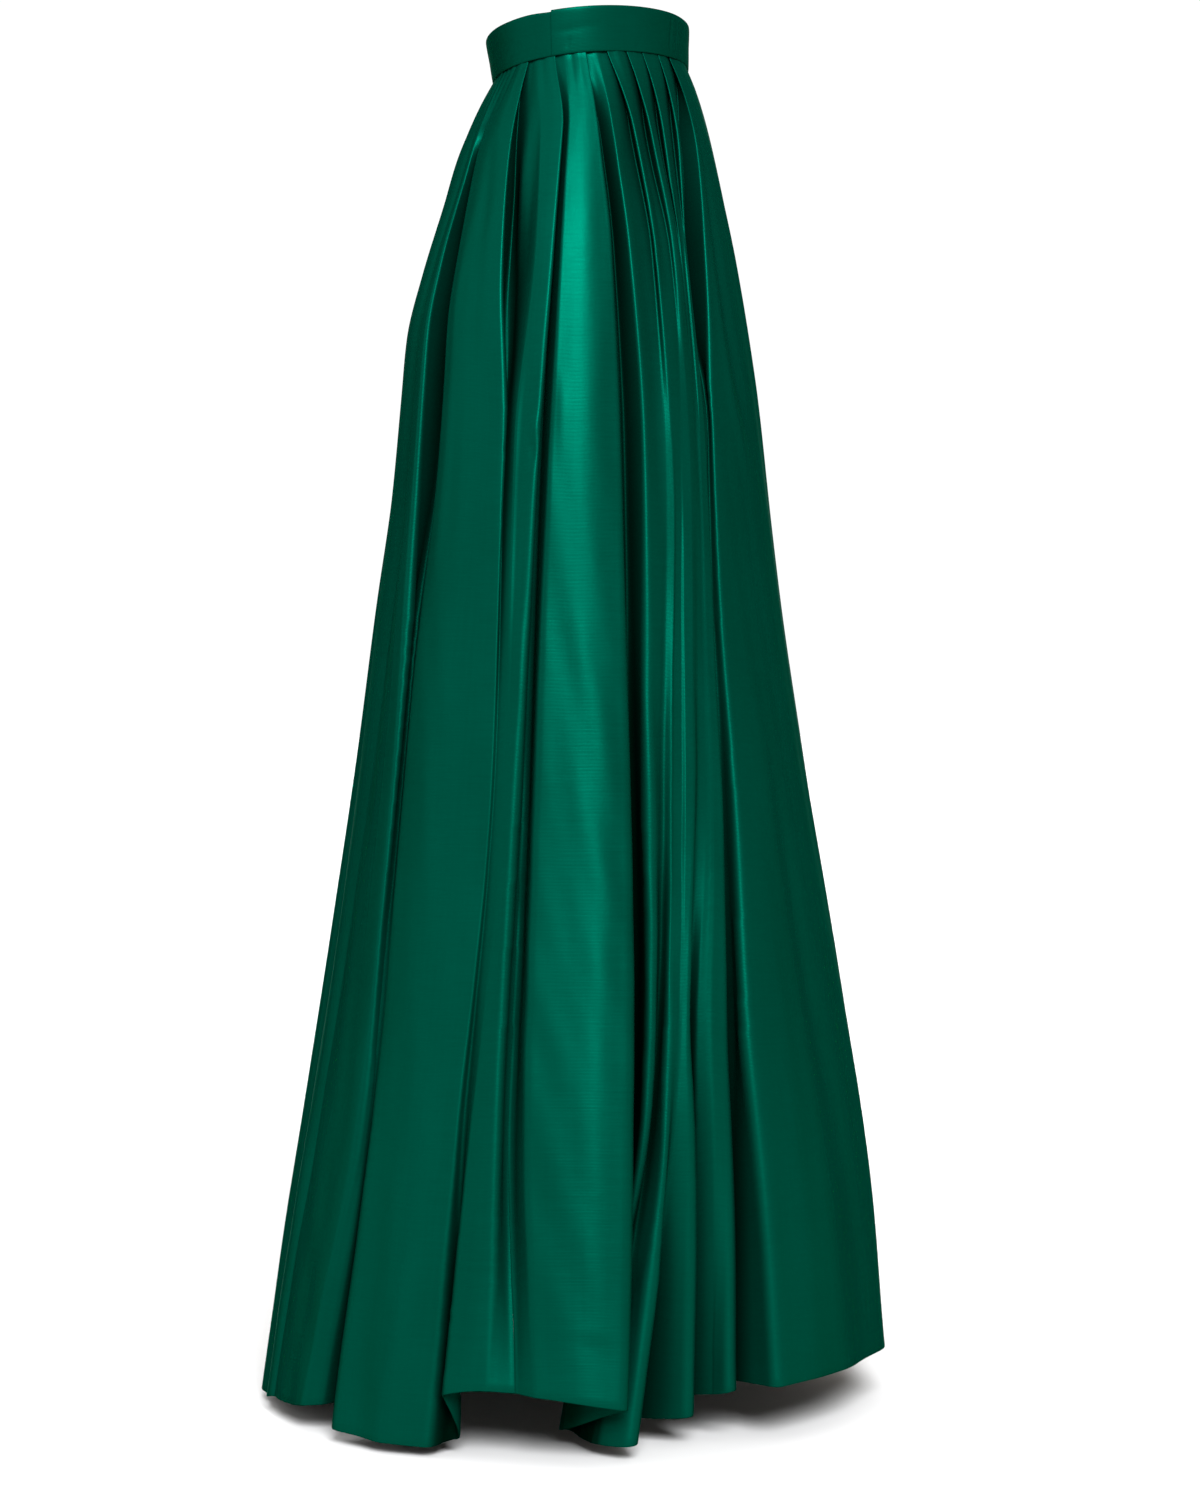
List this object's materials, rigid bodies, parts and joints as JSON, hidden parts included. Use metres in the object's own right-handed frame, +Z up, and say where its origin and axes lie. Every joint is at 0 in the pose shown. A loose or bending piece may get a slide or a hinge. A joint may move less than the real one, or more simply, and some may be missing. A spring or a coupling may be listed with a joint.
{
  "type": "ball gown skirt",
  "caption": "Floor-length pleated ball gown skirt in satin on a plain straight waistband, standing in the full shape it has when worn.",
  "frame": {"origin": "middle of the waist opening at half the height of the waistband, where the wearer holds the skirt up", "axes": "+Z up along the wearer's trunk, front faces -Y, the wearer's right side is at -X"},
  "size_m": [0.594, 0.5397, 1.2116],
  "materials": {
    "band_satin": "smooth heavy green satin, two layers with interfacing",
    "skirt_satin": "smooth heavy green satin with a faint crosswise rib"
  },
  "bodies": {
    "root": {"waistband_front": "band_satin", "waistband_back": "band_satin", "skirt_front": "skirt_satin", "skirt_back": "skirt_satin"}
  },
  "joints": []
}
